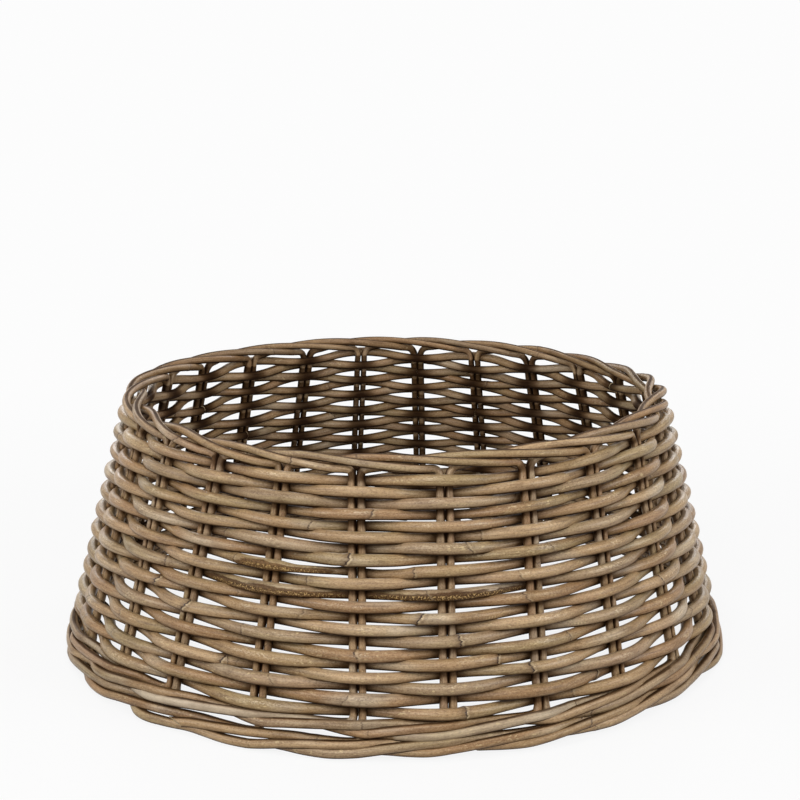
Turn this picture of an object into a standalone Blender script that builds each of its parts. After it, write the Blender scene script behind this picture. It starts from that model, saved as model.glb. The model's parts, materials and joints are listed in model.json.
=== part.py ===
"""Woven cane collar for the foot of an indoor tree.

A conical basket wall without a floor, open right through.  Paired upright
stakes stand in a ring, and single weavers run round them, over one pair and
under the next.  Each stake cane is one continuous piece: it rises at one
pair, is laid down along the rim over three pairs and goes down again at the
third.  Both its feet turn sideways under the wall and make the foot border.

Metres, +Z up, origin on the ring's axis at floor level, front towards -Y.
"""
import math

import bmesh
import bpy

# Wall
PAIR_COUNT = 24
ROW_COUNT = 21
LOWEST_ROW_RADIUS = 0.3210    # axis to the stakes' centre line at the lowest weaver
HIGHEST_ROW_RADIUS = 0.2710   # the same at the highest weaver
ROW_GAP = 0.0003              # clear space between two weavers where they cross
PIECE_GAP = 0.0005            # clear space between pieces that touch in the real object
FIRST_PAIR_SHARE = -0.404     # place of the first pair from the front, in pairs round the ring

# Canes
STAKE_DIAMETER = 0.0062
STAKE_GAP = 0.0006            # clear space between the two stakes of a pair
WEAVER_DIAMETER = 0.0094
WEAVER_END_GAP = 0.0008       # clear space between a weaver's two butted ends
BEND_LENGTH = 0.0040          # cane taken up by the turn from upright to level
CANE_SIDES_RESOLUTION = 1     # six sides
WEAVER_TILT = math.pi / 6     # turns a weaver's six sides edge up

# Rim
RIM_PAIRS = 3                 # pairs that a stake crosses along the rim
RIM_SWING = 0.0085            # how far a stake stands in and out of the wall there
RIM_RISE = 0.0110             # how far its middle stands above its two shoulders

# Foot border
REST_CUT_SHARE = 0.1          # part of the stake's diameter cut flat where it stands
LOWER_TAIL_HEIGHT = 0.0140    # where a right stake's tail passes in front of the next pair
TAIL_PASS_GAP = 0.0011        # clear space between two upper tails, one above the other
FOOT_GAP = 0.0018             # clear space between a tail and the stakes behind it

# Derived values
STAKE_RADIUS = STAKE_DIAMETER / 2
WEAVER_RADIUS = WEAVER_DIAMETER / 2
PAIR_ANGLE = 2 * math.pi / PAIR_COUNT
HALF_STEP = (STAKE_DIAMETER + STAKE_GAP) / 2
TOUCH_DISTANCE = STAKE_RADIUS + WEAVER_RADIUS + PIECE_GAP
ROW_PITCH = WEAVER_DIAMETER + ROW_GAP
UPPER_TAIL_END_HEIGHT = LOWER_TAIL_HEIGHT + STAKE_DIAMETER + PIECE_GAP
UPPER_TAIL_HEIGHT = UPPER_TAIL_END_HEIGHT + STAKE_DIAMETER + TAIL_PASS_GAP
FOOT_SWING = STAKE_DIAMETER + FOOT_GAP
LOWEST_ROW_HEIGHT = UPPER_TAIL_HEIGHT + TOUCH_DISTANCE
HIGHEST_ROW_HEIGHT = LOWEST_ROW_HEIGHT + (ROW_COUNT - 1) * ROW_PITCH
WALL_LEAN = (HIGHEST_ROW_RADIUS - LOWEST_ROW_RADIUS) / (HIGHEST_ROW_HEIGHT - LOWEST_ROW_HEIGHT)
LEAN_ANGLE = math.atan(WALL_LEAN)
SHOULDER_HEIGHT = HIGHEST_ROW_HEIGHT + TOUCH_DISTANCE
REST_HEIGHT = STAKE_RADIUS - REST_CUT_SHARE * STAKE_DIAMETER

# A tail's way to the left from its stake: pairs passed, share of FOOT_SWING,
# and share of the drop from its height at the next pair to its height at the one after.
# It starts low, hidden behind the tail that passes its own pair, and climbs over that one.
TAIL_SHARES = (
    (0.08, 0.00, 0.30),
    (0.30, 0.15, 0.12),
    (0.60, 0.55, -0.02),
    (1.00, 1.00, 0.00),
    (1.30, 1.00, 0.28),
    (1.60, 1.00, 0.80),
    (2.00, 1.00, 1.00),
    (2.15, 0.50, 1.00),
    (2.40, 0.00, 1.00),
)
RIM_STATIONS = 6
SWING_PASSES = 4


def wall_point(turn, sideways, outward, height):
    """A point by pairs round the ring, length sideways, level distance from the wall and height."""
    wall_radius = LOWEST_ROW_RADIUS + WALL_LEAN * (height - LOWEST_ROW_HEIGHT)
    angle = (turn + FIRST_PAIR_SHARE) * PAIR_ANGLE + sideways / wall_radius
    radius = wall_radius + outward
    return (radius * math.sin(angle), -radius * math.cos(angle), height)


def weaver_swing():
    """How far a weaver stands out of the wall's middle at a pair.

    It runs straight from the front of one pair to the back of the next, so it slopes
    past the pair's outer side, and the slope and the swing are found together.
    """
    spacing = HIGHEST_ROW_RADIUS * math.sin(PAIR_ANGLE)
    ring_sag = HIGHEST_ROW_RADIUS * (1 - math.cos(PAIR_ANGLE))
    swing = TOUCH_DISTANCE
    for _ in range(SWING_PASSES):
        slope = (2 * swing + ring_sag) / spacing
        swing = TOUCH_DISTANCE * math.hypot(1, slope) + HALF_STEP * slope
    return swing


def tail_points(turn, sideways, height, end_height):
    """A stake's foot from its turn at one pair to its end past two pairs to the left."""
    drop = end_height - height
    turn_height = height + drop * TAIL_SHARES[0][2]
    points = [wall_point(turn, sideways, 0, turn_height + BEND_LENGTH)]
    for pairs, swing_share, drop_share in TAIL_SHARES:
        level = height + drop * drop_share
        points.append(wall_point(turn - pairs, sideways, FOOT_SWING * swing_share, level))
    return points


def rim_points():
    """The run along the rim from a rising right stake to a falling left one."""
    points = [wall_point(0, HALF_STEP, 0, SHOULDER_HEIGHT - BEND_LENGTH)]
    for step in range(RIM_STATIONS + 1):
        share = step / RIM_STATIONS
        outward = -RIM_SWING * math.sin(2 * math.pi * share)
        height = SHOULDER_HEIGHT + RIM_RISE * math.sin(math.pi * share)
        sideways = HALF_STEP * (1 - 2 * share)
        points.append(wall_point(RIM_PAIRS * share, sideways, outward, height))
    points.append(wall_point(RIM_PAIRS, -HALF_STEP, 0, SHOULDER_HEIGHT - BEND_LENGTH))
    return points


def stake_points():
    """The first stake cane, from the end of its lower tail to that of its upper one."""
    lower = tail_points(0, HALF_STEP, LOWER_TAIL_HEIGHT, REST_HEIGHT)
    upper = tail_points(RIM_PAIRS, -HALF_STEP, UPPER_TAIL_HEIGHT, UPPER_TAIL_END_HEIGHT)
    return lower[::-1] + rim_points() + upper


def weaver_points(row):
    """A weaver once round the ring, its ends butted behind a pair on the inside.

    It swings square to the leaning wall, so it lies higher in front of a pair than behind one.
    """
    joint = row % 2 + 2 * (5 * row % (PAIR_COUNT // 2))
    full_swing = weaver_swing()
    points = []
    for step in range(PAIR_COUNT + 1):
        swing = full_swing if step % 2 else -full_swing
        outward = swing * math.cos(LEAN_ANGLE)
        height = LOWEST_ROW_HEIGHT + row * ROW_PITCH - swing * math.sin(LEAN_ANGLE)
        sideways = 0
        if step == 0:
            sideways = WEAVER_END_GAP / 2
        if step == PAIR_COUNT:
            sideways = -WEAVER_END_GAP / 2
        points.append(wall_point(joint + step, sideways, outward, height))
    return points


def add_cane(name, points, radius, tilt, collection):
    """A round cane along the points, with closed ends."""
    curve = bpy.data.curves.new(name, "CURVE")
    curve.dimensions = "3D"
    curve.fill_mode = "FULL"
    curve.bevel_depth = radius
    curve.bevel_resolution = CANE_SIDES_RESOLUTION
    curve.use_fill_caps = True
    spline = curve.splines.new("POLY")
    spline.points.add(len(points) - 1)
    for spline_point, point in zip(spline.points, points):
        spline_point.co = (*point, 1)
        spline_point.tilt = tilt
    cane = bpy.data.objects.new(name, curve)
    collection.objects.link(cane)
    return cane


def curve_to_mesh(cane, name):
    """The cane as a closed mesh, its two caps welded on."""
    depsgraph = bpy.context.evaluated_depsgraph_get()
    mesh = bpy.data.meshes.new_from_object(cane.evaluated_get(depsgraph))
    mesh.name = name
    form = bmesh.new()
    form.from_mesh(mesh)
    bmesh.ops.remove_doubles(form, verts=form.verts, dist=STAKE_DIAMETER * 0.001)
    form.to_mesh(mesh)
    form.free()
    return mesh


def add_floor_cutter(collection):
    """A slab whose top face is the floor."""
    side = 3 * LOWEST_ROW_RADIUS
    depth = 4 * STAKE_DIAMETER
    bpy.ops.mesh.primitive_cube_add(size=1, location=(0, 0, -depth / 2), scale=(side, side, depth))
    cutter = bpy.context.object
    cutter.name = "floor_cutter"
    cutter.display_type = "WIRE"
    cutter.hide_render = True
    for owner in list(cutter.users_collection):
        owner.objects.unlink(cutter)
    collection.objects.link(cutter)
    return cutter


def cane_material(name, color, roughness):
    material = bpy.data.materials.new(name)
    material.use_nodes = True
    shader = material.node_tree.nodes["Principled BSDF"]
    shader.inputs["Base Color"].default_value = (*color, 1)
    shader.inputs["Roughness"].default_value = roughness
    shader.inputs["Metallic"].default_value = 0
    return material


# Linear colours of the canes, from tan to grey
CANE_COLORS = ((0.38, 0.26, 0.15), (0.51, 0.38, 0.24), (0.36, 0.29, 0.20), (0.43, 0.31, 0.19))
CANE_ROUGHNESS = 0.5


def build_weavers(collection):
    for row in range(ROW_COUNT):
        name = f"weaver_row_{row + 1:02d}"
        weaver = add_cane(name, weaver_points(row), WEAVER_RADIUS, WEAVER_TILT, collection)
        color = CANE_COLORS[row * 3 % len(CANE_COLORS)]
        weaver.data.materials.append(cane_material(name, color, CANE_ROUGHNESS))


def build_stakes(collection, cutter_collection):
    """One stake cane, cut flat where it stands and set round the ring."""
    guide = add_cane("stake_guide", stake_points(), STAKE_RADIUS, 0, collection)
    mesh = curve_to_mesh(guide, "stake_cane")
    bpy.data.objects.remove(guide)
    cutter = add_floor_cutter(cutter_collection)
    for number in range(PAIR_COUNT):
        name = f"stake_cane_{number + 1:02d}"
        stake = bpy.data.objects.new(name, mesh.copy())
        stake.rotation_euler = (0, 0, number * PAIR_ANGLE)
        collection.objects.link(stake)
        color = CANE_COLORS[number % len(CANE_COLORS)]
        stake.data.materials.append(cane_material(name, color, CANE_ROUGHNESS))
        stake.data.shade_smooth()
        cut = stake.modifiers.new("floor_cut", "BOOLEAN")
        cut.operation = "DIFFERENCE"
        cut.solver = "EXACT"
        cut.object = cutter


def main():
    for old in list(bpy.data.objects):
        bpy.data.objects.remove(old)
    collection = bpy.data.collections.new("tree_collar")
    cutter_collection = bpy.data.collections.new("cutters")
    bpy.context.scene.collection.children.link(collection)
    bpy.context.scene.collection.children.link(cutter_collection)
    build_weavers(collection)
    build_stakes(collection, cutter_collection)


main()
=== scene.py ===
import json
import math

import bpy
import numpy as np
from mathutils import Matrix, Vector


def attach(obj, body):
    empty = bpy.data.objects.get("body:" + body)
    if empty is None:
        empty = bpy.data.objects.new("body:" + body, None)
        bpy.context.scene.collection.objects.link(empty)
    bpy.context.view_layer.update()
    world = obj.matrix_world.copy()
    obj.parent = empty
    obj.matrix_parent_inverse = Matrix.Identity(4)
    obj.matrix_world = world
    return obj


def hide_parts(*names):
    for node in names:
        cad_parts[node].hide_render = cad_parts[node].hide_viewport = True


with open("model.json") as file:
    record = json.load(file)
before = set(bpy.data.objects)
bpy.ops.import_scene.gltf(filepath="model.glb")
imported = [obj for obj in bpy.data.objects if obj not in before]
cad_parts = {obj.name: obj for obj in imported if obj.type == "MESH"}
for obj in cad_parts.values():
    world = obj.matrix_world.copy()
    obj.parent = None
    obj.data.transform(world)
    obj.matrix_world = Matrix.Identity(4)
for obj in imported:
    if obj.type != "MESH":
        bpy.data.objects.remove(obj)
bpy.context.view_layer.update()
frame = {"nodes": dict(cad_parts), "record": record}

# Counts from the frame, and sizes in metres as in the part's source
PAIR_COUNT = sum(node.startswith("stake_cane_") for node in frame["nodes"])
ROW_COUNT = sum(node.startswith("weaver_row_") for node in frame["nodes"])
LOWEST_ROW_RADIUS = 0.3210
HIGHEST_ROW_RADIUS = 0.2710
LOWEST_ROW_HEIGHT = 0.0363
ROW_PITCH = 0.0097
STAKE_RADIUS = 0.0031
WEAVER_RADIUS = 0.0047
PIECE_GAP = 0.0005
FIRST_PAIR_SHARE = -0.404
RIM_PAIRS = 3
RIM_SWING = 0.0085
RIM_RISE = 0.0110

# Sizes that differ from the source, because these canes are thicker and touch each other
HALF_STEP = 0.0039                     # from a pair's middle to a stake's centre line
WEAVER_SWING = 0.0083
FOOT_SWING = 0.0092                    # how far a tail stands out of the wall
LOWER_TAIL_LEVELS = (0.0130, 0.0042)   # heights where a tail passes a pair and where it ends
UPPER_TAIL_LEVELS = (0.0286, 0.0208)

# Derived sizes
PAIR_ANGLE = 2 * math.pi / PAIR_COUNT
HIGHEST_ROW_HEIGHT = LOWEST_ROW_HEIGHT + (ROW_COUNT - 1) * ROW_PITCH
WALL_LEAN = (HIGHEST_ROW_RADIUS - LOWEST_ROW_RADIUS) / (HIGHEST_ROW_HEIGHT - LOWEST_ROW_HEIGHT)
LEAN_ANGLE = math.atan(WALL_LEAN)
SHOULDER_HEIGHT = HIGHEST_ROW_HEIGHT + STAKE_RADIUS + WEAVER_RADIUS + PIECE_GAP

# The camera, fitted to the photograph: metres, degrees and pixels
CAMERA_DISTANCE = 1.475
CAMERA_HEIGHT = 0.5776
CAMERA_PITCH = 13.018
CAMERA_ROLL = 0.176
FOCAL_PIXELS = 1459.9
CENTER_X = 395.8
IMAGE = 800


# Materials

class Nodes:
    """Short calls for a node tree."""

    def __init__(self, tree):
        self.tree = tree

    def new(self, kind, **values):
        node = self.tree.nodes.new(kind)
        for key, value in values.items():
            setattr(node, key, value)
        return node

    def put(self, node, name, value):
        socket = node.inputs[name]
        if isinstance(value, bpy.types.NodeSocket):
            self.tree.links.new(value, socket)
        else:
            socket.default_value = value

    def attribute(self, name, output="Fac"):
        return self.new("ShaderNodeAttribute", attribute_name=name).outputs[output]

    def math(self, kind, a, b=None, clamp=False):
        node = self.new("ShaderNodeMath", operation=kind, use_clamp=clamp)
        self.put(node, 0, a)
        if b is not None:
            self.put(node, 1, b)
        return node.outputs[0]

    def times(self, a, b):
        return self.math("MULTIPLY", a, b)

    def plus(self, a, b, clamp=False):
        return self.math("ADD", a, b, clamp)

    def noise(self, vector, factors, detail, rough):
        """Noise on the vector, stretched by a factor for each axis."""
        stretched = self.new("ShaderNodeVectorMath", operation="MULTIPLY")
        self.put(stretched, 0, vector)
        self.put(stretched, 1, factors)
        node = self.new("ShaderNodeTexNoise")
        self.put(node, "Vector", stretched.outputs[0])
        self.put(node, "Scale", 1.0)
        self.put(node, "Detail", detail)
        self.put(node, "Roughness", rough)
        return node.outputs["Fac"]

    def ramp(self, factor, low, high, out_low=0.0, out_high=1.0):
        """A factor's values from low to high, as out_low to out_high."""
        node = self.new("ShaderNodeMapRange", clamp=True)
        self.put(node, "Value", factor)
        self.put(node, "From Min", low)
        self.put(node, "From Max", high)
        self.put(node, "To Min", out_low)
        self.put(node, "To Max", out_high)
        return node.outputs[0]

    def mix(self, factor, a, b):
        node = self.new("ShaderNodeMix", data_type="RGBA", blend_type="MIX")
        self.put(node, 0, factor)
        self.put(node, 6, a if isinstance(a, bpy.types.NodeSocket) else (*a, 1))
        self.put(node, 7, b if isinstance(b, bpy.types.NodeSocket) else (*b, 1))
        return node.outputs[2]


def srgb(r, g, b):
    """A display colour in 0 to 255 as linear numbers."""
    out = []
    for value in (r, g, b):
        c = value / 255
        out.append(c / 12.92 if c <= 0.04045 else ((c + 0.055) / 1.055) ** 2.4)
    return tuple(out)


# Light and dark tone of each kind of cane
TONES = {
    "cane_tan": (srgb(174, 142, 102), srgb(151, 119, 80)),
    "cane_light": (srgb(188, 157, 118), srgb(165, 134, 97)),
    "cane_grey": (srgb(172, 146, 113), srgb(147, 121, 91)),
    "cane_brown": (srgb(168, 132, 93), srgb(143, 109, 72)),
}
KHAKI = srgb(158, 137, 97)
ROSE_TAN = srgb(176, 142, 110)
STREAK_BROWN = srgb(84, 59, 35)
# The next two colours are painted shade, brown and nearly black, for seams, undersides and canes behind the
# pairs.
SHADE_BROWN = srgb(84, 56, 30)
SHADE_DARK_BROWN = srgb(30, 14, 4)
WEATHERED = srgb(203, 186, 160)
BLEACHED = srgb(208, 192, 168)
SCAR_DARK = srgb(60, 40, 26)
SCAR_PALE = srgb(200, 177, 140)
FLECK_YELLOW = srgb(211, 189, 144)
END_GRAIN = srgb(206, 186, 150)
# The next colour is a painted highlight: pale glints on the lit top of the canes in front of the pairs.
GLINT_PALE = srgb(222, 203, 170)
BARK_DARK = srgb(72, 46, 24)
BARK_BROWN = srgb(106, 75, 43)
BARK_PALE = srgb(146, 114, 74)
BARK_PORE = srgb(40, 25, 12)
BARK_BARB = srgb(196, 162, 104)

# Noise on the skin: factors across (twice) and along the cane, per metre, then detail and roughness
PATTERNS = {
    "slow": ((45, 45, 11), 2.0, 0.55),
    "hue": ((30, 30, 6), 1.0, 0.55),
    "bleach": ((24, 24, 9), 1.0, 0.55),
    "patch": ((150, 150, 38), 3.0, 0.6),
    "streak": ((560, 560, 18), 3.0, 0.6),
    "fibre": ((2000, 2000, 75), 2.0, 0.6),
    "grain": ((820, 820, 460), 4.0, 0.8),
    "fleck": ((520, 520, 260), 2.0, 0.5),
    "fleck_zone": ((55, 55, 16), 1.0, 0.55),
    # The next two patterns place the specks of the painted highlight.
    "speck": ((900, 900, 420), 2.0, 0.6),
    "glint_zone": ((90, 90, 40), 1.0, 0.55),
    "barb": ((620, 620, 760), 2.0, 0.5),
    "scar_wobble": ((230, 230, 8), 2.0, 0.55),
    "scar_slant": ((0, 0, 9), 0.0, 0.55),
    "scar_break": ((420, 420, 300), 1.0, 0.55),
    "pores": ((1500, 1500, 1500), 2.0, 0.55),
}

# Layers of colour in their order: pattern, its values where the layer starts and is full, amount, colour
SKIN_LAYERS = (
    ("hue", 0.47, 0.35, 0.75, KHAKI),
    ("hue", 0.54, 0.66, 0.50, ROSE_TAN),
    ("bleach", 0.57, 0.68, 0.60, WEATHERED),
    ("patch", 0.52, 0.70, 0.35, STREAK_BROWN),
    ("streak", 0.50, 0.72, 0.50, STREAK_BROWN),
    ("streak", 0.46, 0.28, 0.32, SCAR_PALE),
    ("fibre", 0.52, 0.74, 0.40, STREAK_BROWN),
    ("grain", 0.50, 0.66, 0.58, STREAK_BROWN),
    ("grain", 0.47, 0.34, 0.38, SCAR_PALE),
)
BARK_LAYERS = (
    ("streak", 0.50, 0.34, 0.50, BARK_PALE),
    ("grain", 0.46, 0.58, 0.70, BARK_PORE),
)
# Patterns turned into amounts: pattern, its values from and to, and the amounts at both
AMOUNTS = {
    "light_tone": ("slow", 0.36, 0.64, 0.0, 1.0),
    "fleck": ("fleck", 0.60, 0.66, 0.0, 0.6),
    "fleck_zone": ("fleck_zone", 0.55, 0.62, 0.0, 1.0),
    "speck": ("speck", 0.50, 0.60, 0.0, 0.8),
    "glint_zone": ("glint_zone", 0.50, 0.62, 0.0, 1.0),
    "dot_change": ("grain", 0.30, 0.70, -0.9, 0.9),
    "bark_tone": ("slow", 0.40, 0.60, 0.0, 1.0),
    "barb": ("barb", 0.54, 0.60, 0.0, 0.95),
    "bark_edge": ("patch", 0.30, 0.70, -0.25, 0.25),
    "scar_wobble": ("scar_wobble", 0.30, 0.70, -0.0019, 0.0019),
    "scar_slant": ("scar_slant", 0.35, 0.65, -0.8, 0.8),
    "scar_break": ("scar_break", 0.40, 0.58, 0.25, 1.0),
    # noise that breaks the edge of the painted shade
    "shade_edge": ("patch", 0.30, 0.70, -0.10, 0.10),
    "pore": ("pores", 0.52, 0.62, 0.0, 1.0),
    "roughness": ("streak", 0.30, 0.70, 0.29, 0.47),
}
# Other values turned into amounts in the same way
DOT = (0.1, 0.7, 0.0, 0.9)
DOT_LINE = (0.4, 0.7)
DOT_WAVES = 2100.0                     # radians per metre along a line of dots
BARB_ZONE = (0.80, 1.0)
BARK_SHARE = (0.42, 0.62, 0.0, 0.9)
# A scar's line, pale lip and stain by the distance from their middle in metres
SCAR_LINE = (0.0004, 0.0011, 0.95, 0.0)
SCAR_LIP = (0.0005, 0.0018, 0.45, 0.0)
SCAR_STAIN = (0.001, 0.007, 0.30, 0.0)
LIP_PLACE = 0.0017
# Painted shade in seams, under and behind canes: where its brown and where its nearly black colour starts and
# is full, and the most of it
SHADE_BROWN_LAYER = (0.0, 0.6, 0.78, SHADE_BROWN)
SHADE_DARK_LAYER = (0.34, 0.95, 0.95, SHADE_DARK_BROWN)
# Gloss: what cut ends and painted shade add to the roughness, and the reflection by painted shade and bark
DRY_ROUGHNESS = 0.3
BARK_DULLNESS = 0.65
REFLECTION = (0.1, 0.7, 0.36, 0.04)
# Relief: share of each pattern, of scars and of barbs, strength and depth in metres
RELIEF = {"streak": 0.55, "fibre": 0.30, "grain": 0.40}
SCAR_RELIEF, BARB_RELIEF = 0.9, 1.2
RELIEF_STRENGTH, RELIEF_DEPTH = 0.6, 0.0005
# Tone: up to one it lightens a cane, and from one to two it bleaches it, before and after the grain
TONE_LIGHT, TONE_WEATHERED, TONE_BLEACHED = 0.35, 0.75, 0.55

# What a cane's mesh tells its material at each vertex, and what a cut end's vertices have
SKIN_VALUES = {
    "tone": 1.0,
    "cut_end": 1.0,
    "ring_distance": 1.0,
    "ring_strength": 0.0,
    "painted_shade": 0.0,
    "bark": 0.0,
    "stitch": 0.0,
    "painted_glint": 0.0,
}


class Skin(Nodes):
    """A cane material's nodes, with the mesh's values and the noise patterns by name."""

    def __init__(self, tree):
        super().__init__(tree)
        place = self.attribute("skin_place", "Vector")
        self.value = {name: self.attribute(name) for name in SKIN_VALUES}
        self.pattern = {name: self.noise(place, *settings) for name, settings in PATTERNS.items()}
        axes = self.new("ShaderNodeSeparateXYZ")
        self.put(axes, 0, place)
        self.across, self.along = axes.outputs[1], axes.outputs[2]

    def amount(self, name):
        pattern, *settings = AMOUNTS[name]
        return self.ramp(self.pattern[pattern], *settings)

    def layer(self, color, factor, start, full, amount, over):
        """The colour with another over it where the factor goes from start to full."""
        return self.mix(self.ramp(factor, start, full, 0.0, amount), color, over)


def base_color(n, light, dark):
    """Slow changes between the two tones, then hues, streaks, fibres and grain."""
    tone = n.value["tone"]
    color = n.mix(n.amount("light_tone"), dark, light)
    color = n.layer(color, tone, 0.0, 1.0, TONE_LIGHT, light)
    color = n.layer(color, tone, 1.0, 2.0, TONE_WEATHERED, WEATHERED)
    for pattern, *settings in SKIN_LAYERS:
        color = n.layer(color, n.pattern[pattern], *settings)
    return n.layer(color, tone, 1.0, 2.0, TONE_BLEACHED, BLEACHED)


def add_flecks(n, color):
    """Yellow flecks in zones, pale specks painted as a highlight on the lit top of a cane in front of a pair,
    and lines of pale dots.
    """
    color = n.mix(n.times(n.amount("fleck"), n.amount("fleck_zone")), color, FLECK_YELLOW)
    specks = n.times(n.times(n.amount("speck"), n.amount("glint_zone")), n.value["painted_glint"])
    color = n.mix(specks, color, GLINT_PALE)
    beat = n.plus(n.math("SINE", n.times(n.along, DOT_WAVES)), n.amount("dot_change"))
    dots = n.times(n.ramp(beat, *DOT), n.ramp(n.value["stitch"], *DOT_LINE))
    return n.mix(dots, color, FLECK_YELLOW)


def add_bark(n, color):
    """Bark left on a strip of the skin, dark with pale barbs, and how much of it there is."""
    bark = n.value["bark"]
    bark_color = n.mix(n.amount("bark_tone"), BARK_DARK, BARK_BROWN)
    for pattern, *settings in BARK_LAYERS:
        bark_color = n.layer(bark_color, n.pattern[pattern], *settings)
    barbs = n.times(n.amount("barb"), n.ramp(bark, *BARB_ZONE))
    bark_color = n.mix(barbs, bark_color, BARK_BARB)
    bark_amount = n.ramp(n.plus(bark, n.amount("bark_edge")), *BARK_SHARE)
    return n.mix(bark_amount, color, bark_color), bark_amount


def add_scars(n, color):
    """A leaf scar's ring, a broken dark line with a pale lip in a stain, and the line itself."""
    place = n.plus(n.value["ring_distance"], n.amount("scar_wobble"))
    place = n.plus(place, n.times(n.across, n.amount("scar_slant")))
    away = n.math("ABSOLUTE", place)
    lip_away = n.math("ABSOLUTE", n.math("SUBTRACT", place, LIP_PLACE))
    scar = n.value["ring_strength"]
    broken = n.times(scar, n.amount("scar_break"))
    line = n.times(n.ramp(away, *SCAR_LINE), broken)
    lip = n.times(n.ramp(lip_away, *SCAR_LIP), broken)
    stain = n.times(n.ramp(away, *SCAR_STAIN), scar)
    for factor, over in ((stain, STREAK_BROWN), (lip, SCAR_PALE), (line, SCAR_DARK)):
        color = n.mix(factor, color, over)
    return color, line


def add_painted_shade(n, color):
    """Painted shade in the seams, under and behind canes, brown and then nearly black, and how much of it there
    is.
    """
    shading = n.plus(n.value["painted_shade"], n.amount("shade_edge"), clamp=True)
    color = n.layer(color, shading, *SHADE_BROWN_LAYER)
    return n.layer(color, shading, *SHADE_DARK_LAYER), shading


def skin_relief(n, scar_line, bark_amount):
    """The bump of streaks, fibres and grain, with sunk scars and raised barbs."""
    height = None
    for pattern, share in RELIEF.items():
        part = n.times(n.pattern[pattern], share)
        height = part if height is None else n.plus(height, part)
    height = n.math("SUBTRACT", height, n.times(scar_line, SCAR_RELIEF))
    height = n.plus(height, n.times(bark_amount, n.times(n.pattern["barb"], BARB_RELIEF)))
    bump = n.new("ShaderNodeBump")
    n.put(bump, "Height", height)
    bump.inputs["Strength"].default_value = RELIEF_STRENGTH
    bump.inputs["Distance"].default_value = RELIEF_DEPTH
    return bump.outputs["Normal"]


def cane_material(name, light, dark):
    """Dry cane: lengthwise fibres, slow changes of colour, leaf-scar rings, flecks with painted glints, bark
    and painted shade.
    """
    material = bpy.data.materials.new(name)
    material.use_nodes = True
    n = Skin(material.node_tree)
    shader = material.node_tree.nodes["Principled BSDF"]
    cut = n.value["cut_end"]

    color = add_flecks(n, base_color(n, light, dark))
    color, bark_amount = add_bark(n, color)
    color, scar_line = add_scars(n, color)
    color, shading = add_painted_shade(n, color)
    end_grain = n.mix(n.amount("pore"), END_GRAIN, STREAK_BROWN)
    n.put(shader, "Base Color", n.mix(cut, color, end_grain))

    # painted shade and cut ends make the skin rougher
    dry = n.times(n.math("MAXIMUM", cut, n.value["painted_shade"]), DRY_ROUGHNESS)
    n.put(shader, "Roughness", n.plus(n.amount("roughness"), dry, clamp=True))
    dull = n.math("MAXIMUM", shading, n.times(bark_amount, BARK_DULLNESS))
    n.put(shader, "Specular IOR Level", n.ramp(dull, *REFLECTION))
    n.put(shader, "Normal", skin_relief(n, scar_line, bark_amount))
    return material


MATERIALS = {name: cane_material(name + "_skin", *tones) for name, tones in TONES.items()}
SLOTS = {entry["node"]: entry["material_slot"] for entry in frame["record"]["subparts"]}


# Unevenness of the handwork, for the pairs that the photograph shows, counted from the front

# How far each pair stands beside its even place, in millimetres at the lowest and the highest row
FRONT_LEANS = {
    -6: (0.2, 2.5), -5: (-3.9, 3.7), -4: (-8.1, 8), -3: (-4, 3.6), -2: (-11.8, 2), -1: (-4, -0.4),
    0: (2.5, -5.2), 1: (-3.8, 0.2), 2: (-3, 4.9), 3: (0.7, 7.4), 4: (4.2, 10.7), 5: (7, 10.8), 6: (3, 6.4),
}
# How far the rows climb at each pair, in millimetres at the lowest row, one third up, two thirds up
# and at the highest
FRONT_LIFTS = {
    -7: (-3, -1.6, 0, 1.9), -6: (-4.8, -2.8, 0, 2.9), -5: (-4, -2.2, 0, 1.9), -4: (-3.2, -1.2, 0.1, 0.6),
    -3: (-1.1, 0.5, 0.2, -1.3), -2: (1, 2.3, -0.2, -3.4), -1: (1.5, 1.4, -0.7, -4.1), 0: (0.3, 0, -0.8, -3.3),
    1: (-1.1, 0, 0, -2.2), 2: (-0.8, 1.3, 1.1, -1.2), 3: (0.8, 2.6, 1.6, 0), 4: (1.6, 3.1, 2.9, 1.8),
    5: (1.3, 3, 3.5, 3.2), 6: (1.1, 2.6, 3.5, 4), 7: (0.2, 1.4, 2.3, 2.9),
}
# How much further out the foot border stands at each pair, and how far its lowest canes are off
# the floor, in millimetres
FRONT_FEET = {
    -8: (-3, 0), -7: (-6, 0), -6: (-5, 0), -5: (1, 0), -4: (4.5, 0), -3: (4.5, 0), -2: (1, 0), -1: (0, 0),
    0: (-1, 1), 1: (-2.2, 2.9), 2: (-2, 2.9), 3: (-2, 2.9), 4: (-1.2, 2.4), 5: (3.5, 0), 6: (-1.5, 0),
    7: (-3, 0),
}
MILLIMETRE = 0.001


def pair_table(known, width, spread, seed):
    """The known values of the front pairs, and small random ones for the others, in metres."""
    table = np.random.default_rng(seed).uniform(-spread, spread, (PAIR_COUNT, width))
    for pair, entry in known.items():
        table[pair] = entry
    return table * MILLIMETRE


PAIR_LEANS = pair_table(FRONT_LEANS, width=2, spread=3, seed=9)
PAIR_LIFTS = pair_table(FRONT_LIFTS, width=4, spread=1, seed=11)
PAIR_FEET = pair_table(FRONT_FEET, width=2, spread=0.4, seed=13)


def between_pairs(table, turn):
    """A table's rows at places between the pairs."""
    place = np.asarray(turn) % PAIR_COUNT
    left = np.floor(place).astype(int) % PAIR_COUNT
    share = (place - np.floor(place))[..., None]
    return table[left] * (1 - share) + table[(left + 1) % PAIR_COUNT] * share


def wall_share(height):
    """A height's share of the way from the lowest row to the highest."""
    return graded(height, LOWEST_ROW_HEIGHT, HIGHEST_ROW_HEIGHT)


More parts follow.
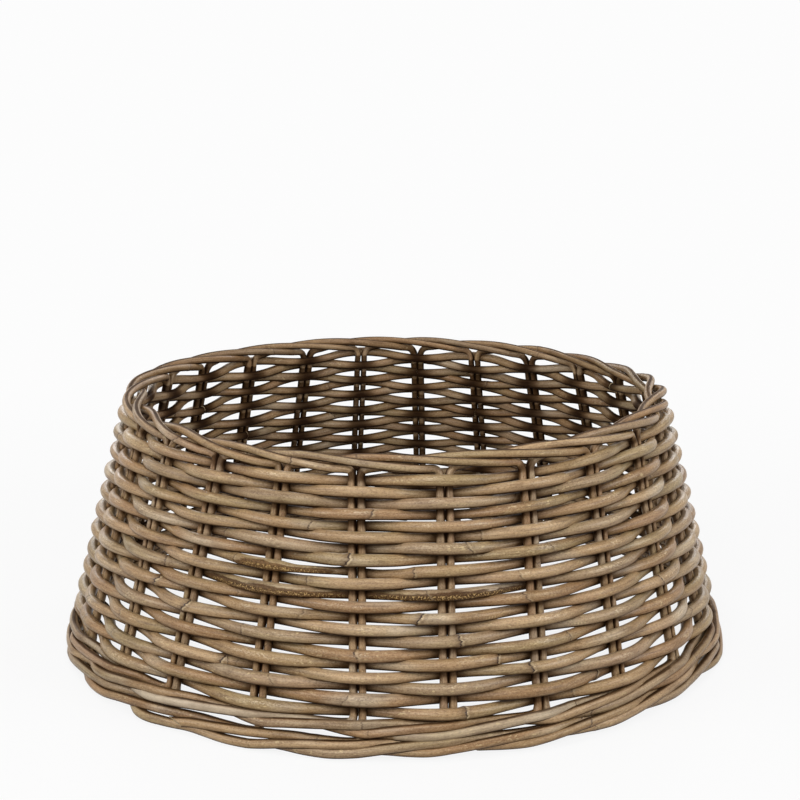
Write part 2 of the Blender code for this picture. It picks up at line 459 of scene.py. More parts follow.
def pair_lean(turn, height):
    """The ring's unevenness sideways at a place."""
    leans = between_pairs(PAIR_LEANS, turn)
    up = wall_share(height)
    return leans[..., 0] * (1 - up) + leans[..., 1] * up


def row_lift(turn, up):
    """How far the rows climb at a place, by its share of the wall's height."""
    lifts = between_pairs(PAIR_LIFTS, turn)
    steps = lifts.shape[-1] - 1
    total = 0
    for step in range(steps + 1):
        total = total + lifts[..., step] * np.clip(1 - np.abs(up * steps - step), 0, 1)
    return total


def wall_point(turn, sideways, outward, height):
    """Points by pairs round the ring, length sideways, level distance from the wall and height."""
    wall_radius = LOWEST_ROW_RADIUS + WALL_LEAN * (height - LOWEST_ROW_HEIGHT)
    angle = (turn + FIRST_PAIR_SHARE) * PAIR_ANGLE + (sideways + pair_lean(turn, height)) / wall_radius
    radius = wall_radius + outward
    return np.stack([radius * np.sin(angle), -radius * np.cos(angle), height], -1)


# Lines and noise

def graded(values, start, full):
    """Nought up to start and one from full on, with an even rise between."""
    return np.clip((values - start) / (full - start), 0, 1)


def ease(values, start=0, full=1):
    """The same with a rise that is smooth at both ends."""
    f = graded(values, start, full)
    return f * f * (3 - 2 * f)


def within(values, first, last, blend):
    """One between first and last, and nought outside, over a blend at each end."""
    return ease(values, first, first + blend) * ease(values, last, last - blend)


def smooth_noise(count, own, step, size):
    """A smooth random line of count values that changes over about step values."""
    knots = max(4, int(count / step) + 3)
    values = own.normal(0, size, knots)
    x = np.linspace(0, knots - 3.001, count)
    i = x.astype(int)
    f = ease(x - i)
    return values[i] * (1 - f) + values[i + 1] * f


def ring_noise(count, own, knots, size):
    """The same, closed on itself."""
    values = own.normal(0, size, knots)
    x = np.linspace(0, knots, count, endpoint=False)
    i = x.astype(int)
    f = ease(x - i)
    return values[i % knots] * (1 - f) + values[(i + 1) % knots] * f


def unit(vectors):
    return vectors / np.linalg.norm(vectors, axis=-1, keepdims=True)


def angle_between(a, b):
    return np.abs(np.angle(np.exp(1j * (a - b))))


# Cane meshes

FIRST_SCAR = (0.02, 0.52)              # metres from a cane's end
SCAR_SPACING = (0.18, 0.52)            # metres from one scar to the next
SCAR_STRENGTH = (0.45, 1.0)
KNOT_STRENGTH = 2.0
FAR_SCAR = 1e3                         # so that every station has a nearest scar
# A cane swells at a scar and is thinner just before it: share of its radius, metres
SWELL_SHARE, SWELL_WIDTH = 0.06, 0.0035
NECK_SHARE, NECK_WIDTH, NECK_PLACE = 0.03, 0.004, 0.006
OVAL_SHARE = 0.04                      # a cane isn't quite round
OVAL_NOISE = (60, 3.0)                 # stations that the oval turns over, and radians
CUT_STATIONS = 5                       # stations that a slanted cut pulls with it
CUT_TURN = 0.8                         # radians that a cut may be turned round the cane
PLAIN_SLANTS = (0.1, 0.1)              # slants of the two cuts, in radii
SKIN_OFFSET = 40                       # metres of skin, so that no two canes show the same


def scar_places(length, own):
    """Where the leaf scars lie along a cane."""
    places = []
    at = own.uniform(*FIRST_SCAR)
    while at < length:
        places.append(at)
        at += own.uniform(*SCAR_SPACING)
    return places


def leaf_scars(along, knots, own):
    """Each station's distance from the nearest leaf scar, and that scar's strength."""
    places = np.array(scar_places(along[-1], own) + [FAR_SCAR] + [along[knot] for knot in knots])
    strengths = own.uniform(*SCAR_STRENGTH, len(places))
    strengths[len(places) - len(knots):] = KNOT_STRENGTH
    nearest = np.abs(along[:, None] - places[None]).argmin(1)
    return along - places[nearest], strengths[nearest]


def slant_ends(grid, radius, tangent, angles, slants, own):
    """Slanted cuts at the two ends."""
    last = len(grid) - 1
    for end, slant in ((0, slants[0]), (last, slants[1])):
        turn = own.uniform(-CUT_TURN, CUT_TURN) + (math.pi if end else 0)
        for j in range(CUT_STATIONS):
            index = abs(end - j)
            shift = slant * radius[index] * np.cos(angles - turn) * (1 - j / CUT_STATIONS)
            grid[index] += tangent[index][None] * shift[:, None]


def tube_mesh(name, grid):
    """A closed tube over a grid of stations and sides, its caps on rings of their own."""
    count, sides = grid.shape[:2]
    i = np.arange(count - 1)[:, None]
    j = np.arange(sides)[None]
    k = (j + 1) % sides
    quads = np.stack([i * sides + j, i * sides + k, (i + 1) * sides + k, (i + 1) * sides + j], -1)
    faces = quads.reshape(-1, 4).tolist()
    near_cap, far_cap = count * sides, count * sides + sides + 1
    for m in range(sides):
        o = (m + 1) % sides
        faces.append((near_cap + o, near_cap + m, near_cap + sides))
        faces.append((far_cap + m, far_cap + o, far_cap + sides))
    caps = [grid[0], grid[0].mean(0)[None], grid[-1], grid[-1].mean(0)[None]]
    verts = np.concatenate([grid.reshape(-1, 3)] + caps)
    mesh = bpy.data.meshes.new(name)
    mesh.from_pydata(verts.tolist(), [], faces)
    mesh.shade_smooth()
    return mesh, verts


def store_skin(mesh, place, values):
    """The values at the skin's vertices as attributes. The caps keep those of a cut end."""
    mesh.attributes.new("skin_place", "FLOAT_VECTOR", "POINT").data.foreach_set("vector", place.ravel())
    for key, cap_value in SKIN_VALUES.items():
        stored = np.full(len(place), cap_value)
        entry = values[key].ravel()
        stored[:len(entry)] = entry
        mesh.attributes.new(key, "FLOAT", "POINT").data.foreach_set("value", stored)


def store_uv(mesh, along, sides, total):
    """The share round the cane and the length along it, in metres."""
    place = np.zeros((total, 2))
    place[:len(along) * sides, 0] = np.tile(np.arange(sides) / sides, len(along))
    place[:len(along) * sides, 1] = np.repeat(along, sides)
    loop_vertex = np.zeros(len(mesh.loops), dtype=np.int64)
    mesh.loops.foreach_get("vertex_index", loop_vertex)
    mesh.uv_layers.new(name="UVMap").data.foreach_set("uv", place[loop_vertex].ravel())


def no_strips(along, angles):
    return {}


def cane_mesh(name, points, radius, sides, own, tone, painted_shade,
              strips=no_strips, slants=PLAIN_SLANTS, knots=()):
    """A closed cane along the points, with its skin's values stored for the material.

    The painted shade argument takes how far each vertex faces up, out and along the ring, and gives how much
    painted shade darkens it.
    strips takes the lengths along and the angles round and gives bark, stitches and painted glints.
    knots are the stations with a strong leaf scar of their own.
    """
    count = len(points)
    tangent = unit(np.gradient(points, axis=0))
    outward = unit(points * (1, 1, 0))
    normal = unit(outward - (outward * tangent).sum(1)[:, None] * tangent)
    side = np.cross(tangent, normal)
    along = np.concatenate([[0], np.cumsum(np.linalg.norm(np.diff(points, axis=0), axis=1))])

    ring_distance, ring_strength = leaf_scars(along, knots, own)
    swell = SWELL_SHARE * np.exp(-(ring_distance / SWELL_WIDTH) ** 2)
    neck = NECK_SHARE * np.exp(-((ring_distance + NECK_PLACE) / NECK_WIDTH) ** 2)
    radius = np.asarray(radius) * np.ones(count) * (1 + (swell - neck) * ring_strength)

    angles = np.arange(sides) * 2 * math.pi / sides
    roll = smooth_noise(count, own, *OVAL_NOISE)[:, None]
    shaped = radius[:, None] * (1 + OVAL_SHARE * np.cos(2 * angles[None] + roll))
    across = np.cos(angles)[None, :, None]
    direction = across * normal[:, None] + np.sin(angles)[None, :, None] * side[:, None]
    grid = points[:, None] + shaped[..., None] * direction
    slant_ends(grid, radius, tangent, angles, slants, own)
    mesh, verts = tube_mesh(name, grid)

    place = verts.copy()
    skin_count = count * sides
    place[:skin_count, 0] = (np.cos(angles)[None] * radius[:, None]).ravel()
    place[:skin_count, 1] = (np.sin(angles)[None] * radius[:, None]).ravel()
    place[:skin_count, 2] = np.repeat(along, sides) + own.uniform(0, SKIN_OFFSET)
    facing_out = (direction * outward[:, None]).sum(2)
    facing_along = direction[..., 1] * outward[:, None, 0] - direction[..., 0] * outward[:, None, 1]
    plain = np.zeros((count, sides))
    store_skin(mesh, place, {
        "tone": np.repeat(tone * np.ones(count), sides),
        "cut_end": plain,
        "ring_distance": np.repeat(ring_distance, sides),
        "ring_strength": np.repeat(ring_strength, sides),
        # painted shade, from how each vertex faces and where the cane lies
        "painted_shade": np.clip(painted_shade(direction[..., 2], facing_out, facing_along), 0, 1),
        "bark": plain,
        "stitch": plain,
        "painted_glint": plain,
        **strips(along, angles),
    })
    store_uv(mesh, along, sides, len(verts))
    return mesh


def add_cane(name, mesh, node):
    mesh.materials.append(MATERIALS[SLOTS[node]])
    cane = bpy.data.objects.new(name, mesh)
    bpy.context.scene.collection.objects.link(cane)
    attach(cane, "root")
    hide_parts(node)


# Painted shade round a cane: its amount, and how far a vertex faces up, out or towards the partner where the
# shade starts and where it is full; it darkens undersides, seams, inner sides and a stake's sides
UNDERSIDE = (0.18, 0.0, -0.6)
LOWER_SEAM = (0.84, -0.56, -0.82)
UPPER_SEAM = (0.60, 0.86, 0.99)
ROW_INSIDE = (0.15, 0.0, -1.0)
STAKE_INSIDE = (0.25, 0.0, -1.0)
PARTNER_SIDE = (0.90, 0.6, 0.9)
OPEN_SIDE = (0.40, -0.7, -1.0)


def shade_towards(facing, amount, start, full):
    return amount * graded(facing, start, full)


def seam_shade(facing_up, above=1.0):
    """Painted shade on the underside and in the seams below and above a level cane."""
    below = shade_towards(facing_up, *UNDERSIDE) + shade_towards(facing_up, *LOWER_SEAM)
    return below + above * shade_towards(facing_up, *UPPER_SEAM)


# Weaver rows

WEAVER_SIDES = 16
WEAVER_SEED = 100
PER_PAIR = 22                          # stations from one pair to the next
JOINT_STEP = 5                         # steps of two pairs from a row's joint to the next row's
BUTT_GAP = 0.0006                      # metres from a weaver's end to the middle of its joint
WAVE_POWER = 0.9                       # under one, so that a weaver runs flatter past a pair
# How much of the lean's lift a weaver shows in front of a pair, at the lowest row and more at the highest
LEAN_LIFT, LEAN_LIFT_MORE = 0.72, 0.36

# Bands of rows that dip and climb together: how many, knots round the ring and metres
BAND_COUNT = 3
BAND_NOISE = (16, 0.0006)
BAND_SEED = 20
# Noise along a row: pairs that it changes over, and its size in metres or as a share
SWING_NOISE = (1.0, 0.04)
HEIGHT_NOISE = (0.9, 0.0008)
ROW_RADIUS_NOISE = (2.5, 0.035)
# Thickness as a share of the source's: at the lowest row, less at the highest, spread from row to row
ROW_THICKNESS, ROW_TAPER, ROW_SPREAD = 1.075, 0.045, 0.07
SIDES_THICKER = 0.05
SIDES_PAIRS = (2, 4.5)                 # pairs from the front where the sides start and are full
FRONT_THICKER, BACK_THINNER = 0.06, 0.07

# Painted shade on a row: in its seams between the pairs, behind the pairs and deep behind them
SEAM_SHARE, CROSSING_MORE = 0.9, 0.4
BEHIND_SHADE, DEEP_SHADE, DEEP_POWER = 0.12, 0.66, 5
COVERED_WAVE = (0.375, -0.25)          # the wave at which its neighbours start to cover a row, and do
GLINT_ANGLE, GLINT_WIDTH = math.radians(-38), 0.34   # place and half width of the line of painted glints

# Strips on the front rows: row, first and last pair, angle round the cane, kind
SKIN_STRIPS = (
    (10, -2.1, 2.2, 0.3, "bark"),
    (12, -1.6, -0.1, 0.2, "bark"),
    (3, 1.35, 1.85, 0.1, "bark"),
    (6, 2.2, 2.8, 0.1, "stitch"),
    (8, 1.15, 1.75, 0.2, "stitch"),
    (4, 3.1, 3.7, 0.1, "stitch"),
    (7, -0.7, -0.1, 0.1, "stitch"),
    (13, -3.2, -2.2, -0.3, "stitch"),
)
STRIP_WIDTHS = {"bark": 1.3, "stitch": 0.42}
STRIP_MIDDLE, STRIP_MOST = 1.3, 1.1    # value in a strip's middle, falling by one in a width, and its limit
STRIP_BLEND = 0.4
# Strong leaf scars on the front rows: row and places in pairs
KNOTS = {
    0: (1.12,), 1: (2.7,), 3: (-1.46, 1.88), 4: (1.5,), 6: (1.08,), 7: (-1.96,), 8: (0.66, -2.6), 13: (-0.1,),
}
# Uneven stretches: row, first and last pair, thickness and millimetres up
UNEVEN_STRETCHES = ((12, -0.95, 0.0, 0.66, -0.9), (12, 0.0, 0.75, 0.94, -1.2), (13, -0.9, 0.5, 1.0, 0.4))
UNEVEN_BLEND = 0.3
# A weathered stretch: row, first and last pair, blend and tone
WEATHERED_ROW, WEATHERED_FIRST, WEATHERED_LAST, WEATHERED_BLEND, WEATHERED_TONE = 7, 0.2, 0.95, 0.2, 0.6

band_rng = np.random.default_rng(BAND_SEED)
BANDS = [ring_noise(PAIR_COUNT * PER_PAIR, band_rng, *BAND_NOISE) for _ in range(BAND_COUNT)]


def from_front(turn):
    """Pairs from the front, less to the left and more to the right."""
    return (turn + PAIR_COUNT / 2) % PAIR_COUNT - PAIR_COUNT / 2


def row_noise(count, own, pairs, size):
    return smooth_noise(count, own, PER_PAIR * pairs, size)


def weaver_height(row, turn, wave, swing, own):
    """A row's height along its way: its band's waves, its own, and higher in front of a pair than behind."""
    count = len(turn)
    share = row / (ROW_COUNT - 1)
    places = (turn % PAIR_COUNT) / PAIR_COUNT * (count - 1)
    band = BANDS[row * BAND_COUNT // ROW_COUNT]
    height = LOWEST_ROW_HEIGHT + row * ROW_PITCH + np.interp(places, np.arange(count - 1), band)
    height = height + row_lift(turn, share) + row_noise(count, own, *HEIGHT_NOISE)
    return height - swing * wave * math.sin(LEAN_ANGLE) * (LEAN_LIFT + LEAN_LIFT_MORE * share)


def weaver_radius(row, front, wave, own):
    """A row's thickness: a little more low down, at the sides, and in front of a pair than behind."""
    share = row / (ROW_COUNT - 1)
    thickness = ROW_THICKNESS - ROW_TAPER * share + own.uniform(-ROW_SPREAD, ROW_SPREAD)
    thickness = thickness + SIDES_THICKER * ease(np.abs(front), *SIDES_PAIRS)
    radius = WEAVER_RADIUS * thickness * (1 + row_noise(len(front), own, *ROW_RADIUS_NOISE))
    return radius * (1 + FRONT_THICKER * np.clip(wave, 0, 1) - BACK_THINNER * np.clip(-wave, 0, 1))


def weaver_shade(wave):
    """Painted shade in the seams, mostly where a row is covered by its neighbours, a painted shadow behind the
    pairs, and shade on its inner side.
    """
    behind = np.clip(-wave, 0, 1)[:, None]
    crossing = (1 - np.abs(wave))[:, None]
    covered = graded(wave, *COVERED_WAVE)[:, None]

    def painted_shade(facing_up, facing_out, facing_along):
        seams = seam_shade(facing_up, covered) * (SEAM_SHARE + CROSSING_MORE * crossing)
        # painted shadow of the pairs on the row behind them
        hidden = BEHIND_SHADE * behind + DEEP_SHADE * behind ** DEEP_POWER
        return seams + hidden + shade_towards(facing_out, *ROW_INSIDE)

    return painted_shade


def weaver_strips(row, front, wave):
    """A painted highlight of pale glints along the top of a row's outer side in front of each pair, and the
    bark and lines of dots on the front rows.
    """
    def strips(along, angles):
        glint = np.exp(-(angle_between(angles, GLINT_ANGLE) / GLINT_WIDTH) ** 2)
        out = {kind: np.zeros((len(front), len(angles))) for kind in STRIP_WIDTHS}
        # painted highlight: glints on the top of the cane in front of a pair
        out["painted_glint"] = (np.clip(wave, 0, 1) ** 2)[:, None] * glint[None]
        for strip_row, first, last, angle, kind in SKIN_STRIPS:
            if strip_row == row:
                zone = within(front, first, last, STRIP_BLEND)
                away = angle_between(angles, angle) / STRIP_WIDTHS[kind]
                strip = np.clip(STRIP_MIDDLE - away, 0, STRIP_MOST)
                out[kind] = np.maximum(out[kind], zone[:, None] * strip[None])
        return out

    return strips


def weaver(row):
    """One weaver round the ring, out in front of one pair and in behind the next."""
    own = np.random.default_rng(WEAVER_SEED + row)
    count = PAIR_COUNT * PER_PAIR + 1
    joint = row % 2 + 2 * (JOINT_STEP * row % (PAIR_COUNT // 2))
    turn = joint + np.linspace(0, PAIR_COUNT, count)
    front = from_front(turn)
    swing = WEAVER_SWING * (1 + row_noise(count, own, *SWING_NOISE))
    wave = -np.cos(math.pi * (turn - joint))
    wave = np.sign(wave) * np.abs(wave) ** WAVE_POWER
    height = weaver_height(row, turn, wave, swing, own)
    radius = weaver_radius(row, front, wave, own)
    for uneven_row, first, last, factor, up in UNEVEN_STRETCHES:
        if uneven_row == row:
            zone = within(front, first, last, UNEVEN_BLEND)
            radius = radius * (1 + (factor - 1) * zone)
            height = height + MILLIMETRE * up * zone
    sideways = np.zeros(count)
    sideways[0], sideways[-1] = BUTT_GAP, -BUTT_GAP
    points = wall_point(turn, sideways, swing * wave * math.cos(LEAN_ANGLE), height)

    tone = own.uniform(0, 1) * np.ones(count)
    if row == WEATHERED_ROW:
        tone += WEATHERED_TONE * within(front, WEATHERED_FIRST, WEATHERED_LAST, WEATHERED_BLEND)
    knots = [int(np.abs(front - place).argmin()) for place in KNOTS.get(row, ())]
    name = f"row_cane_{row + 1:02d}"
    mesh = cane_mesh(name, points, radius, WEAVER_SIDES, own, tone, weaver_shade(wave),
                     strips=weaver_strips(row, front, wave), knots=knots)
    add_cane(name, mesh, f"weaver_row_{row + 1:02d}")


# Stake canes

STAKE_SIDES = 14
STATION_STEP = 0.0026
# A tail's way: pairs passed, share of the swing, share of the drop
TAIL = (
    (0.10, 0.00, 0.30),
    (0.35, 0.04, 0.24),
    (0.60, 0.18, 0.08),
    (0.82, 0.62, -0.02),
    (1.00, 0.96, -0.02),
    (1.30, 1.02, 0.12),
    (1.65, 1.00, 0.42),
)
# The same for how a tail can end: tucked in behind the next one, or loose, early, late or cut short
ENDS = {
    "tucked": ((2.00, 1.00, 0.84), (2.25, 0.97, 1.00), (2.50, 0.66, 1.00), (2.70, 0.24, 1.00),
               (2.86, 0.00, 1.00)),
    "loose": ((2.00, 1.00, 0.88), (2.25, 1.00, 1.00), (2.56, 0.95, 0.97)),
    "early": ((1.90, 0.97, 0.72), (2.05, 0.66, 0.70), (2.20, 0.24, 0.58), (2.36, 0.00, 0.42)),
    "late": ((2.00, 1.00, 0.90), (2.25, 0.95, 1.00), (2.48, 0.70, 1.00), (2.68, 0.66, 1.00),
             (2.90, 1.00, 1.00), (3.12, 1.28, 1.00), (3.30, 1.16, 1.00), (3.46, 0.70, 1.00),
             (3.64, 0.00, 1.00)),
    "short": ((1.80, 1.35, 0.60),),
}
# Stakes whose lower or upper tail isn't tucked
LOWER_ENDS = {0: "short", 1: "late", 9: "short", 14: "loose"}
UPPER_ENDS = {1: "early", 11: "short", 22: "early", 23: "early"}
CUT_SLANT, SHORT_CUT_SLANT = 0.9, 1.8  # in radii
TURN_SHARE = 0.3                       # share of the drop where a stake turns into its tail
TURN_STATIONS = ((0, 0.014), (0, 0.0065), (0.02, 0.0016))   # pairs passed and height above the turn
CENTERED_PAIRS = 0.5                   # pairs passed where a tail is back on the pairs' middle line
TAIL_LIFT_SPREAD = 0.0006
TAIL_SWING_SPREAD = 0.0002
TUCKED_REACH = (-0.12, 0.06)           # share by which a tucked tail is longer past its second pair

# How a stake joins the rim: pairs, distance out and height above the shoulder
RIM_SHOULDER = ((0, 0, -0.014), (0, 0, -0.006), (0.06, -0.0009, 0.0004))
RIM_STEPS = 12

STAKE_SEED = 500
FOOT_ZONE = (-0.002, -0.012)           # metres from the lowest row where the foot starts and is full
RIM_ZONE = (-0.004, 0.004)             # metres from the shoulder where the rim starts and is full
FLOOR_ZONE = (1.5, 0.5)                # heights of a lower tail where its lift off the floor starts and is full
PAIR_SPREAD = (-0.05, 0.03)            # share by which the two stakes of a pair are further apart
# Noise along a stake: stations that it changes over, and its size in metres or as a share
SIDEWAYS_NOISE = (12, 0.0002)
OUTWARD_NOISE = (40, 0.0002)
STAKE_RADIUS_NOISE = (60, 0.04)
# Thickness as a share of the source's, its spread, and what comes to it
STAKE_THICKNESS, STAKE_SPREAD = 1.15, 0.08
FOOT_THICKER, RIM_THICKER, PALE_THICKER = 0.21, 0.06, 0.14
FLOOR_CLEARANCE = 1.05                 # least height of a cane's centre line, in radii
TONE_SPREAD = 0.8
# Stakes with a pale, thick upper foot, how pale, and the pairs that it passes
PALE_STAKES = {0: 0.45, 21: 1.0}
PALE_PAIRS = 2.6

# Darkening of a stake: a little everywhere in the wall, a painted shadow below a crossing weaver, a little in
# the border and painted shade in its seams
WALL_DARKENING, PAINTED_SHADOW = 0.08, 0.55
SHADOW_PLACE = (0.34, 0.64)            # share of the way between two weavers that cross in front
BORDER_DARKENING, BORDER_SEAMS = 0.06, 1.35


def spline(stations, step=STATION_STEP):
    """A smooth line through stations of turn, sideways, outward and height."""
    s = np.array(stations, dtype=float)
    gaps = np.linalg.norm(np.diff(wall_point(*s.T), axis=0), axis=1)
    h = np.sqrt(gaps)[:, None]
    d = np.diff(s, axis=0) / h
    slope = np.zeros_like(s)
    slope[1:-1] = (d[:-1] * h[1:] + d[1:] * h[:-1]) / (h[:-1] + h[1:])
    slope[0], slope[-1] = d[0], d[-1]
    out = []
    for i in range(len(s) - 1):
        pieces = max(2, int(round(gaps[i] / step)))
        f = np.linspace(0, 1, pieces, endpoint=False)[:, None]
        out.append((2 * f**3 - 3 * f**2 + 1) * s[i] + (f**3 - 2 * f**2 + f) * h[i] * slope[i]
                   + (-2 * f**3 + 3 * f**2) * s[i + 1] + (f**3 - f**2) * h[i] * slope[i + 1])
    out.append(s[-1:])
    return np.concatenate(out)


def tail(turn, sideways, height, end_height, own, end):
    """The stations of a stake's foot, from above its turn to its end on the left."""
    drop = end_height - height
    start = height + drop * TURN_SHARE
    stations = [(turn - pairs, sideways, 0, start + above) for pairs, above in TURN_STATIONS]
    lift = own.normal(0, TAIL_LIFT_SPREAD)
    reach = own.uniform(*TUCKED_REACH) if end == "tucked" else 0
    for pairs, swing, share in TAIL + ENDS[end]:
        level = height + drop * share + lift * min(1, pairs)
        if pairs > 2:
            pairs += reach * (pairs - 2)
        side = sideways * max(0, 1 - pairs / CENTERED_PAIRS)
        outward = FOOT_SWING * swing + own.normal(0, TAIL_SWING_SPREAD)
        stations.append((turn - pairs, side, outward, level))
    return stations


def rim():
    """The stations along the rim, from a rising right stake to a falling left one."""
    stations = [(pairs, HALF_STEP, outward, SHOULDER_HEIGHT + up) for pairs, outward, up in RIM_SHOULDER]
    for step in range(1, RIM_STEPS):
        share = step / RIM_STEPS
        outward = -RIM_SWING * math.sin(2 * math.pi * share)
        height = SHOULDER_HEIGHT + RIM_RISE * math.sin(math.pi * share)
        stations.append((RIM_PAIRS * share, HALF_STEP * (1 - 2 * share), outward, height))
    for pairs, outward, up in RIM_SHOULDER[::-1]:
        stations.append((RIM_PAIRS - pairs, -HALF_STEP, -outward, SHOULDER_HEIGHT + up))
    return stations


def stake_shade(number, turn, sideways, height, wall):
    """Painted shadow below each weaver that crosses a stake, painted shade beside its partner, on its inner
    side and in the border's seams, and a little darkening all along.
    """
    lift = row_lift(turn + number, wall_share(height))
    pair = np.round(turn).astype(int) + number
    over = (height - LOWEST_ROW_HEIGHT - lift) / ROW_PITCH / 2 - (pair + 1) % 2 / 2
    in_wall = (WALL_DARKENING + PAINTED_SHADOW * ease(over % 1, *SHADOW_PLACE))[:, None]

    def painted_shade(facing_up, facing_out, facing_along):
        partner = -facing_along * np.sign(sideways)[:, None]
        beside = shade_towards(partner, *PARTNER_SIDE) + shade_towards(partner, *OPEN_SIDE)
        seams = BORDER_DARKENING + BORDER_SEAMS * seam_shade(facing_up)
        around = seams + shade_towards(facing_out, *STAKE_INSIDE)
        return wall[:, None] * (in_wall + beside) + (1 - wall)[:, None] * around

    return painted_shade


def stake(number):
    """One stake cane: lower tail, right stake, rim, left stake of the third pair on, upper tail."""
    own = np.random.default_rng(STAKE_SEED + number)
    ends = (LOWER_ENDS.get(number, "tucked"), UPPER_ENDS.get(number, "tucked"))
    lower = tail(0, HALF_STEP, *LOWER_TAIL_LEVELS, own, ends[0])
    upper = tail(RIM_PAIRS, -HALF_STEP, *UPPER_TAIL_LEVELS, own, ends[1])
    turn, sideways, outward, height = spline(lower[::-1] + rim() + upper).T
    count = len(turn)
    foot = ease(height - LOWEST_ROW_HEIGHT, *FOOT_ZONE)
    top = ease(height - SHOULDER_HEIGHT, *RIM_ZONE)
    wall = (1 - foot) * (1 - top)

    sideways = sideways * (1 + wall * own.uniform(*PAIR_SPREAD))
    sideways = sideways + wall * smooth_noise(count, own, *SIDEWAYS_NOISE)
    reach, rise = between_pairs(PAIR_FEET, turn + number).T
    outward = outward + smooth_noise(count, own, *OUTWARD_NOISE)
    outward = outward + foot * reach * graded(outward, 0, FOOT_SWING)
    lift = foot * row_lift(turn + number, 0) * graded(height, 0, LOWEST_ROW_HEIGHT)
    lift += foot * rise * graded(height / LOWER_TAIL_LEVELS[0], *FLOOR_ZONE)
    lift += top * row_lift(turn + number, 1)
    points = wall_point(turn + number, sideways, outward, height + lift)

    radius = STAKE_RADIUS * (STAKE_THICKNESS + own.uniform(0, STAKE_SPREAD))
    radius = radius * (1 + smooth_noise(count, own, *STAKE_RADIUS_NOISE))
    radius = radius * (1 + FOOT_THICKER * foot + RIM_THICKER * top)
    tone = own.uniform(0, TONE_SPREAD)
    if number in PALE_STAKES:
        pale = PALE_STAKES[number] * foot * (turn > RIM_PAIRS - PALE_PAIRS)
        tone = 1 + pale
        radius = radius * (1 + PALE_THICKER * pale)
    points[:, 2] = np.maximum(points[:, 2], radius * FLOOR_CLEARANCE)

    slants = [SHORT_CUT_SLANT if end == "short" else CUT_SLANT for end in ends]
    name = f"stake_{number + 1:02d}"
    shading = stake_shade(number, turn, sideways, height, wall)
    mesh = cane_mesh(name, points, radius, STAKE_SIDES, own, tone, shading, slants=slants)
    add_cane(name, mesh, f"stake_cane_{number + 1:02d}")


# Floor, light and camera

BACKDROP = 0.975                       # strength at which the backdrop is white
FLOOR_HALF_SIDE = 8.0
FLOOR_DROP = 0.0002                    # below the object, so that the two don't meet
FLOOR_SEEN = (0.85, 0.85, 0.85)
FLOOR_UNSEEN = (0.25, 0.24, 0.22)
FLOOR_FADE = (0.45, 1.3, 0.88, 1.0)    # distances, and share of plain white at each
FILL_STRENGTH = 0.17
LAMP_TARGET = (0, 0, 0.1)
# Name, place, side in metres, watts
LAMPS = (
    ("key", (-0.4, -2.0, 1.35), 1.4, 28.5),
    ("side_right", (1.9, -1.0, 1.1), 1.0, 22),
    ("side_left", (-1.9, -1.0, 1.1), 1.0, 16.5),
    ("top", (0.0, 0.0, 2.4), 1.2, 13),
    ("back_right", (0.9, 2.0, 1.3), 1.0, 13),
    ("back_left", (-0.9, 2.0, 1.3), 1.0, 13),
)


def seen_rays(n):
    """One for camera, glossy and transmission rays, else nought."""
    path = n.new("ShaderNodeLightPath")
    seen = n.math("MAXIMUM", path.outputs["Is Camera Ray"], path.outputs["Is Glossy Ray"])
    return n.math("MAXIMUM", seen, path.outputs["Is Transmission Ray"])


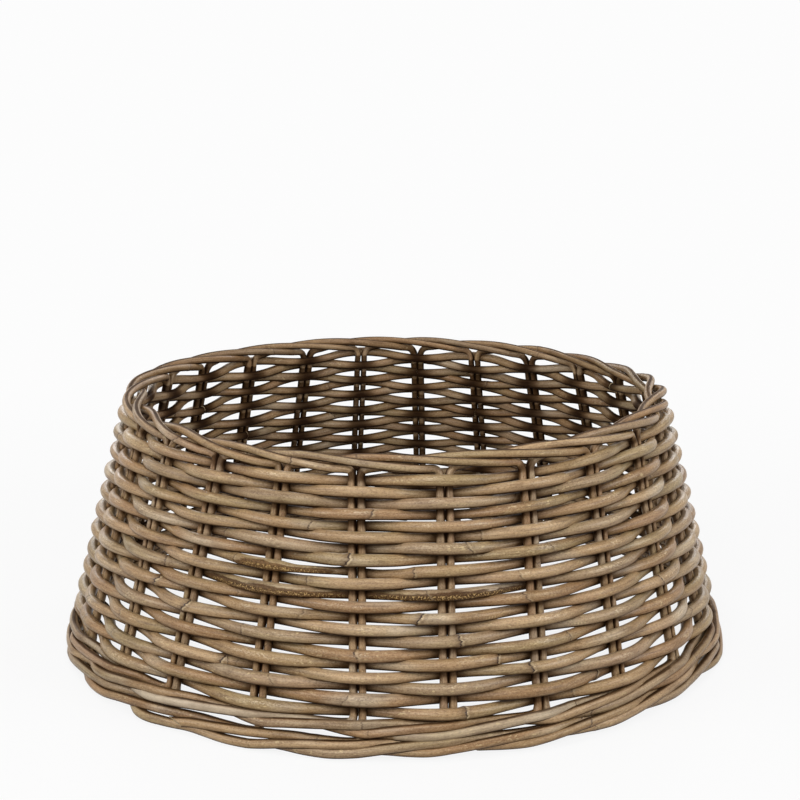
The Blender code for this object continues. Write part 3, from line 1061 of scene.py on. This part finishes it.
def add_floor():
    """A white floor that shows the shadow near the object and fades into the backdrop."""
    mesh = bpy.data.meshes.new("floor")
    corners = [(-1, -1), (1, -1), (1, 1), (-1, 1)]
    mesh.from_pydata([(x * FLOOR_HALF_SIDE, y * FLOOR_HALF_SIDE, 0) for x, y in corners], [], [(0, 1, 2, 3)])
    floor = bpy.data.objects.new("floor", mesh)
    bpy.context.scene.collection.objects.link(floor)
    floor.location.z = -FLOOR_DROP
    material = bpy.data.materials.new("floor_white")
    material.use_nodes = True
    n = Nodes(material.node_tree)
    n.tree.nodes.clear()
    out = n.new("ShaderNodeOutputMaterial")
    seen = seen_rays(n)
    diffuse = n.new("ShaderNodeBsdfDiffuse")
    n.put(diffuse, "Color", n.mix(seen, FLOOR_UNSEEN, FLOOR_SEEN))
    glow = n.new("ShaderNodeEmission")
    glow.inputs["Strength"].default_value = BACKDROP
    coordinates = n.new("ShaderNodeTexCoord")
    far = n.new("ShaderNodeVectorMath", operation="LENGTH")
    n.put(far, 0, coordinates.outputs["Object"])
    mix = n.new("ShaderNodeMixShader")
    n.put(mix, 0, n.times(n.ramp(far.outputs["Value"], *FLOOR_FADE), seen))
    n.put(mix, 1, diffuse.outputs[0])
    n.put(mix, 2, glow.outputs[0])
    n.put(out, "Surface", mix.outputs[0])
    mesh.materials.append(material)


def add_world():
    """A white backdrop for what is seen, and a soft fill for what is lit."""
    world = bpy.data.worlds.new("studio")
    bpy.context.scene.world = world
    world.use_nodes = True
    n = Nodes(world.node_tree)
    n.tree.nodes.clear()
    out = n.new("ShaderNodeOutputWorld")
    mix = n.new("ShaderNodeMixShader")
    n.put(mix, 0, seen_rays(n))
    for socket, strength in ((1, FILL_STRENGTH), (2, BACKDROP)):
        background = n.new("ShaderNodeBackground")
        background.inputs["Color"].default_value = (1, 1, 1, 1)
        background.inputs["Strength"].default_value = strength
        n.put(mix, socket, background.outputs[0])
    n.put(out, "Surface", mix.outputs[0])


def add_lamp(name, place, side, watts):
    lamp = bpy.data.lights.new(name, "AREA")
    lamp.shape = "SQUARE"
    lamp.size = side
    lamp.energy = watts
    holder = bpy.data.objects.new(name, lamp)
    bpy.context.scene.collection.objects.link(holder)
    holder.location = place
    holder.rotation_euler = (Vector(LAMP_TARGET) - Vector(place)).to_track_quat("-Z", "Y").to_euler()


def add_camera():
    camera = bpy.data.cameras.new("camera")
    camera.sensor_width = 36
    camera.lens = FOCAL_PIXELS / IMAGE * camera.sensor_width
    camera.shift_x = (IMAGE / 2 - CENTER_X) / IMAGE
    holder = bpy.data.objects.new("camera", camera)
    bpy.context.scene.collection.objects.link(holder)
    pitch, roll = math.radians(CAMERA_PITCH), math.radians(CAMERA_ROLL)
    place = Matrix.Translation((0, -CAMERA_DISTANCE, CAMERA_HEIGHT))
    holder.matrix_world = place @ Matrix.Rotation(math.pi / 2 - pitch, 4, "X") @ Matrix.Rotation(roll, 4, "Z")
    bpy.context.scene.camera = holder


for row in range(ROW_COUNT):
    weaver(row)
for number in range(PAIR_COUNT):
    stake(number)
add_floor()
add_world()
for lamp_settings in LAMPS:
    add_lamp(*lamp_settings)
add_camera()
bpy.context.scene.view_settings.view_transform = "Standard"
